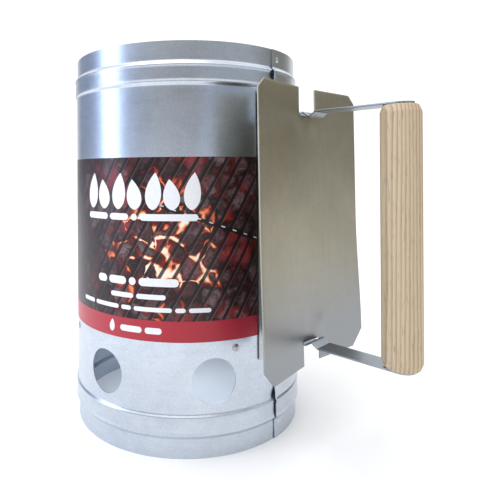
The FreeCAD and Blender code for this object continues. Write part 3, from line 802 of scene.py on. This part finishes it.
def make_shield():
    """The flat outline cut into small faces, moved to its depth, and given thickness and soft edges."""
    mesh = bmesh.new()
    corners = [mesh.verts.new((0, y, z)) for y, z in shield_outline()]
    mesh.faces.new(corners)
    for y in np.linspace(-SHIELD_HALF, SHIELD_HALF, 61)[1:-1]:
        cut_across(mesh, (0, y, 0), (0, 1, 0))
    for z in np.linspace(shield_low.z, shield_high.z, 74)[1:-1]:
        cut_across(mesh, (0, 0, z), (0, 0, 1))
    for corner in mesh.verts:
        corner.co.x = shield_depth(corner.co.y, corner.co.z)
    bmesh.ops.recalc_face_normals(mesh, faces=mesh.faces[:])
    if sum(face.normal.x for face in mesh.faces) < 0:
        bmesh.ops.reverse_faces(mesh, faces=mesh.faces[:])
    data = bpy.data.meshes.new("shield")
    mesh.to_mesh(data)
    mesh.free()
    shield = bpy.data.objects.new("shield", data)
    bpy.context.scene.collection.objects.link(shield)
    apply_modifier(shield, "SOLIDIFY", thickness=SHIELD_THICKNESS, offset=1.0, smooth_angle=40)
    apply_modifier(shield, "BEVEL", width=0.12 * MM, segments=2, limit_method="ANGLE", smooth_angle=40)
    return shield


# ---------------------------------------------------------------- strap

STRAP_HALF = strap_high.y
STRAP_BEND = 2.6 * MM
STRAP_EDGE = 0.3 * MM
CRIMP_HEIGHT = 3.0 * MM
CRIMP_HALF_WIDTH = 4.6 * MM
CRIMP_SPACING = 7.4 * MM
LOWER_OUTER_CRIMP = 0.76
TIP_CORNER = 7.45 * MM
SCREW_HOLE_RADIUS = 3.0 * MM
COUNTERSINK_RADIUS = 4.1 * MM


def crimp_dip(x, level):
    """How far an arm's middle line dips at x, in two rounded V creases beside the shield."""
    dip = 0.0
    outer = 1 if level > HEIGHT / 2 else LOWER_OUTER_CRIMP
    for side in (-1, outer):
        away = abs(x - (shield_reach_at(level) + side * CRIMP_SPACING)) / CRIMP_HALF_WIDTH
        if away < 1.0:
            sharp = 1 - math.sqrt(away * away + 0.02)
            dip += CRIMP_HEIGHT * max(0.0, sharp) * 1.12
    return dip


def strap_middle_line():
    """Side view of the strap's middle line as (x, z), from the upper tip round to the lower tip."""
    web_x = strap_low.x + STRAP_THICKNESS / 2
    high = strap_high.z - STRAP_THICKNESS / 2
    low = strap_low.z + STRAP_THICKNESS / 2
    arm = np.concatenate([np.arange(web_x + STRAP_BEND, strap_high.x - TIP_CORNER, 0.6 * MM),
                          strap_high.x - TIP_CORNER * (1 - np.sin(np.linspace(0, math.pi / 2, 12)))])
    upper = [(x, high - crimp_dip(x, high)) for x in arm[::-1]]
    lower = [(x, low + crimp_dip(x, low)) for x in arm]
    turn = np.linspace(0, math.pi / 2, 9)[1:-1]
    upper_bend = [(web_x + STRAP_BEND * (1 - math.sin(angle)), high - STRAP_BEND * (1 - math.cos(angle)))
                  for angle in turn]
    lower_bend = [(web_x + STRAP_BEND * (1 - math.cos(angle)), low + STRAP_BEND * (1 - math.sin(angle)))
                  for angle in turn]
    web = [(web_x, z) for z in np.linspace(high - STRAP_BEND, low + STRAP_BEND, 40)]
    return upper + upper_bend + web + lower_bend + lower


def strap_section(half_width):
    """Section of the flat bar with its edges cut, as (y, depth)."""
    flat, deep = half_width - STRAP_EDGE, STRAP_THICKNESS / 2
    shallow = deep - STRAP_EDGE
    return ((-flat, -deep), (flat, -deep), (half_width, -shallow), (half_width, shallow),
            (flat, deep), (-flat, deep), (-half_width, shallow), (-half_width, -shallow))


def make_strap():
    """The flat bar's section carried along its middle line, narrowed to a round tip at both ends."""
    line = np.array(strap_middle_line())
    along = np.gradient(line, axis=0)
    along /= np.linalg.norm(along, axis=1)[:, None]
    across = np.stack([-along[:, 1], along[:, 0]], axis=1)
    vertices = []
    sections = []
    for (x, z), (nx, nz) in zip(line, across):
        to_tip = max(0.0, x - (strap_high.x - TIP_CORNER))
        narrowed = TIP_CORNER - math.sqrt(max(0.0, TIP_CORNER ** 2 - to_tip ** 2))
        section = strap_section(STRAP_HALF - narrowed)
        sections.append(list(range(len(vertices), len(vertices) + len(section))))
        vertices += [(x + nx * depth, y, z + nz * depth) for y, depth in section]
    faces = [tuple(sections[0][::-1]), tuple(sections[-1])]
    for first, second in zip(sections, sections[1:]):
        count = len(first)
        following = [(k + 1) % count for k in range(count)]
        faces += [(first[k], first[following[k]], second[following[k]], second[k]) for k in range(count)]
    strap = add_mesh("strap", vertices, faces, smooth_angle=35)
    cut_screw_holes(strap)
    return strap


def cut_screw_holes(strap):
    """Countersunk holes for the two screws, whose heads lie flush in the arms' outer faces."""
    beyond = 0.4 * MM
    for outer, outward in ((strap_high.z, 1), (strap_low.z, -1)):
        inner = outer - outward * STRAP_THICKNESS
        cone_start = outer - outward * (COUNTERSINK_RADIUS - SCREW_HOLE_RADIUS)
        profile = [(0.0, inner - outward * beyond), (SCREW_HOLE_RADIUS, inner - outward * beyond),
                   (SCREW_HOLE_RADIUS, cone_start), (COUNTERSINK_RADIUS + beyond, outer + outward * beyond),
                   (0.0, outer + outward * beyond)]
        tool = lathe("screw_hole_tool", profile if outward > 0 else profile[::-1], GRIP_X, 48)
        apply_modifier(strap, "BOOLEAN", operation="DIFFERENCE", object=tool, solver="EXACT",
                       smooth_angle=35)
        bpy.data.objects.remove(tool)


# ---------------------------------------------------------------- grip

GRIP_TAPER_WIDTH = 1.8 * MM
GRIP_TAPER_HEIGHT = 4.2 * MM
GRIP_EASE = 0.9 * MM
GRIP_HOLE = ((2.1 * MM, 6.0 * MM), (2.1 * MM, 0.55 * MM), (2.65 * MM, 0.0))


def grip_end():
    """One end of the dowel as (radius, distance from the end): screw hole, flat end and taper."""
    inner = GRIP_RADIUS - GRIP_TAPER_WIDTH
    slope = math.hypot(GRIP_TAPER_WIDTH, GRIP_TAPER_HEIGHT)
    step_out = GRIP_EASE * GRIP_TAPER_WIDTH / slope
    step_up = GRIP_EASE * GRIP_TAPER_HEIGHT / slope
    end_corner = eased_corner((inner - GRIP_EASE, 0.0), (inner, 0.0), (inner + step_out, step_up))
    side_corner = eased_corner((GRIP_RADIUS - step_out, GRIP_TAPER_HEIGHT - step_up),
                               (GRIP_RADIUS, GRIP_TAPER_HEIGHT),
                               (GRIP_RADIUS, GRIP_TAPER_HEIGHT + GRIP_EASE))
    return list(GRIP_HOLE) + end_corner + side_corner


def make_grip():
    """Turned dowel with tapered ends, its corners eased, and a countersunk hole in each end."""
    end = grip_end()
    profile = [(radius, grip_low.z + up) for radius, up in end]
    profile += [(GRIP_RADIUS, z) for z in np.linspace(grip_low.z + 8 * MM, grip_high.z - 8 * MM, 30)]
    profile += [(radius, grip_high.z - up) for radius, up in reversed(end)]
    profile = [(0.0, profile[0][1])] + profile + [(0.0, profile[-1][1])]
    return lathe("grip_dowel", profile, GRIP_X, 128)


# ---------------------------------------------------------------- stage, light and camera

# The camera looks level at the tube's axis from a bearing in degrees, turned and rolled by a little.
CAMERA_BEARING = -43.23
CAMERA_DISTANCE = 0.4057
CAMERA_HEIGHT = 0.1906
CAMERA_LENS = 34.35
CAMERA_SHIFT = (0.1157, -0.1565)
CAMERA_TURN = -0.0123
CAMERA_ROLL = -0.0064
FLOOR_HALF = 4.0


def make_floor():
    """A plain pale floor."""
    corners = [(x * FLOOR_HALF, y * FLOOR_HALF, 0) for x, y in ((-1, -1), (1, -1), (1, 1), (-1, 1))]
    floor = add_mesh("floor", corners, [(0, 1, 2, 3)])
    n = Nodes(bpy.data.materials.new("pale_floor"))
    grain = n.noise(n.position(), 30.0, detail=3.0)
    n.set(Base_Color=n.ramp(grain, (0.3, (0.88, 0.88, 0.88)), (0.7, (0.90, 0.90, 0.90))), Roughness=0.8)
    floor.data.materials.append(n.owner)


# Colours of the room at a level just above the eye and higher up. The first number is the bearing to the
# right of the camera, seen from the object: 0 is behind the camera, and 180 is the backdrop.
BACKDROP = (1.12, 1.12, 1.12)
ROOM_LOW = (
    (-180, BACKDROP), (-152, BACKDROP), (-140, (0.34, 0.38, 0.46)), (-112, (0.28, 0.34, 0.48)),
    (-80, (0.56, 0.69, 1.00)), (-58, (0.40, 0.48, 0.68)), (-44, (0.36, 0.40, 0.48)),
    (-26, (0.50, 0.51, 0.52)), (-10, (0.36, 0.37, 0.40)), (13, (0.31, 0.31, 0.34)),
    (21, (0.50, 0.60, 0.76)), (78, (0.46, 0.55, 0.70)), (93, (0.34, 0.32, 0.25)),
    (106, (0.22, 0.20, 0.15)), (132, (0.42, 0.41, 0.36)), (142, BACKDROP),
)
ROOM_HIGH = (
    (-180, BACKDROP), (-152, BACKDROP), (-140, (0.32, 0.36, 0.44)), (-112, (0.26, 0.31, 0.43)),
    (-80, (0.50, 0.61, 0.90)), (-58, (0.34, 0.37, 0.46)), (-26, (0.30, 0.29, 0.29)),
    (8, (0.24, 0.22, 0.20)), (40, (0.20, 0.18, 0.14)), (70, (0.34, 0.31, 0.23)),
    (92, (0.17, 0.15, 0.10)), (112, (0.22, 0.21, 0.16)), (132, (0.42, 0.41, 0.36)), (142, BACKDROP),
)
CEILING = (1.35, 1.36, 1.38)
# The low colours give way to the high ones, and those to the ceiling, between two steepnesses of view.
HIGH_WALL_BLEND = (0.10, 0.26)
CEILING_BLEND = (0.29, 0.50)


def make_world():
    """Soft room by bearing and height: a pale backdrop, a blue window left, and warm walls right."""
    n = Nodes(bpy.data.worlds.new("room"))
    bpy.context.scene.world = n.owner

    def room_ramp(share, colours):
        stops = [(0.5 + bearing / 360, colour) for bearing, colour in colours]
        return n.ramp(share, *stops, interpolation="EASE")

    def step_between(value, low, high):
        node = n.add("ShaderNodeMapRange", interpolation_type="SMOOTHSTEP")
        n.feed(node.inputs["Value"], value)
        n.feed(node.inputs["From Min"], low)
        n.feed(node.inputs["From Max"], high)
        return node.outputs["Result"]

    x, y, upwards = n.axes(n.add("ShaderNodeTexCoord").outputs["Generated"])
    turned = n.math("SUBTRACT", n.math("ARCTAN2", y, x), math.radians(CAMERA_BEARING - 180))
    share = n.math("FRACT", n.math("DIVIDE", turned, 2 * math.pi))
    low_walls, high_walls = room_ramp(share, ROOM_LOW), room_ramp(share, ROOM_HIGH)
    walls = n.mix(step_between(upwards, *HIGH_WALL_BLEND), low_walls, high_walls)
    room = n.mix(step_between(upwards, *CEILING_BLEND), walls, (*CEILING, 1))
    n.feed(n.tree.nodes["Background"].inputs["Color"], room)


def around_camera(degrees_right, distance, height):
    """A place at a bearing counted to the right of the camera, about the tube's axis."""
    bearing = math.radians(CAMERA_BEARING + degrees_right)
    return Vector((AXIS_X + distance * math.cos(bearing), distance * math.sin(bearing), height))


def add_area_light(name, place, target, width, height, power, colour):
    """A rectangular lamp, with its size in metres and its power in watts."""
    data = bpy.data.lights.new(name, "AREA")
    data.shape = "RECTANGLE"
    data.size = width
    data.size_y = height
    data.energy = power
    data.color = colour
    light = bpy.data.objects.new(name, data)
    light.location = place
    light.rotation_euler = (Vector(target) - Vector(place)).to_track_quat("-Z", "Y").to_euler()
    bpy.context.scene.collection.objects.link(light)


def make_lights():
    """A cool window, a soft light overhead, and a small lamp under the grate that the vents show."""
    middle = (0, 0, 140 * MM)
    under_grate, foot = (AXIS_X, 0, 70 * MM), (AXIS_X, 0, 0)
    add_area_light("window", around_camera(-78, 1.5, 0.50), middle, 0.50, 1.0, 6, (0.66, 0.78, 1.0))
    add_area_light("overhead", around_camera(-40, 0.6, 1.7), middle, 1.4, 1.4, 10, (1.0, 1.0, 1.0))
    add_area_light("through_the_vents", under_grate, foot, 0.09, 0.09, 0.045, (0.72, 0.84, 1.0))


def make_camera():
    """The photograph's view, with plain colours."""
    data = bpy.data.cameras.new("camera")
    data.sensor_width = 36
    data.lens = CAMERA_LENS
    data.shift_x, data.shift_y = CAMERA_SHIFT
    camera = bpy.data.objects.new("camera", data)
    camera.location = around_camera(0, CAMERA_DISTANCE, CAMERA_HEIGHT)
    look = Vector((AXIS_X, 0, CAMERA_HEIGHT)) - camera.location
    level = (Matrix.Rotation(CAMERA_TURN, 3, "Z") @ look).to_track_quat("-Z", "Y").to_matrix()
    camera.rotation_euler = (level @ Matrix.Rotation(CAMERA_ROLL, 3, "Z")).to_euler()
    bpy.context.scene.collection.objects.link(camera)
    bpy.context.scene.camera = camera
    bpy.context.scene.view_settings.view_transform = "Standard"


# ---------------------------------------------------------------- assembly


def main():
    """Make each material, the pieces that wear them, and the stage."""
    shell_zinc = galvanised("shell_zinc", (0.42, 0.46, 0.515), (0.645, 0.70, 0.78), along=(1, 1, 6),
                            roughness=(0.25, 0.35))
    plate_zinc = galvanised("plate_zinc", (0.40, 0.41, 0.41), (0.60, 0.61, 0.61))
    # The shield's foot colour is a painted reflection of the pale floor, bluer towards the ground.
    shield_zinc = galvanised("shield_zinc", (0.30, 0.277, 0.212), (0.42, 0.388, 0.300), along=(6, 6, 0.5),
                             roughness=(0.34, 0.46), stained=0.2, foot=(0.28, 0.30, 0.335))
    strap_zinc = galvanised("strap_zinc", (0.22, 0.245, 0.28), (0.35, 0.38, 0.42), roughness=(0.28, 0.42))
    grate_zinc = galvanised("grate_zinc", (0.42, 0.43, 0.44), (0.64, 0.65, 0.66), roughness=(0.38, 0.52))
    rivet_metal = plated("rivet_metal", (0.50, 0.51, 0.53), 0.42)
    screw_metal = plated("screw_metal", (0.70, 0.71, 0.73), 0.30)

    dress(make_tube(), "starter", "galvanised_shell", shell_zinc, "body_shell")
    dress(make_label(), "starter", "printed_label", printed_paper(), "label")
    dress(make_print_marks(), "starter", "printed_label", white_print())
    dress(make_shield(), "starter", "shield_steel", shield_zinc, "heat_shield")
    dress(make_strap(), "starter", "strap_steel", strap_zinc, "handle_strap")
    dress(make_grip(), "grip", "grip_wood", turned_wood(), "wood_grip")
    dress_node("strap_backing_plate", plate_zinc)
    dress_node("charcoal_grate", grate_zinc)
    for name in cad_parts:
        if "rivet" in name:
            dress_node(name, rivet_metal)
        if name.startswith("grip_screw"):
            dress_node(name, screw_metal)
    make_floor()
    make_world()
    make_lights()
    make_camera()


main()
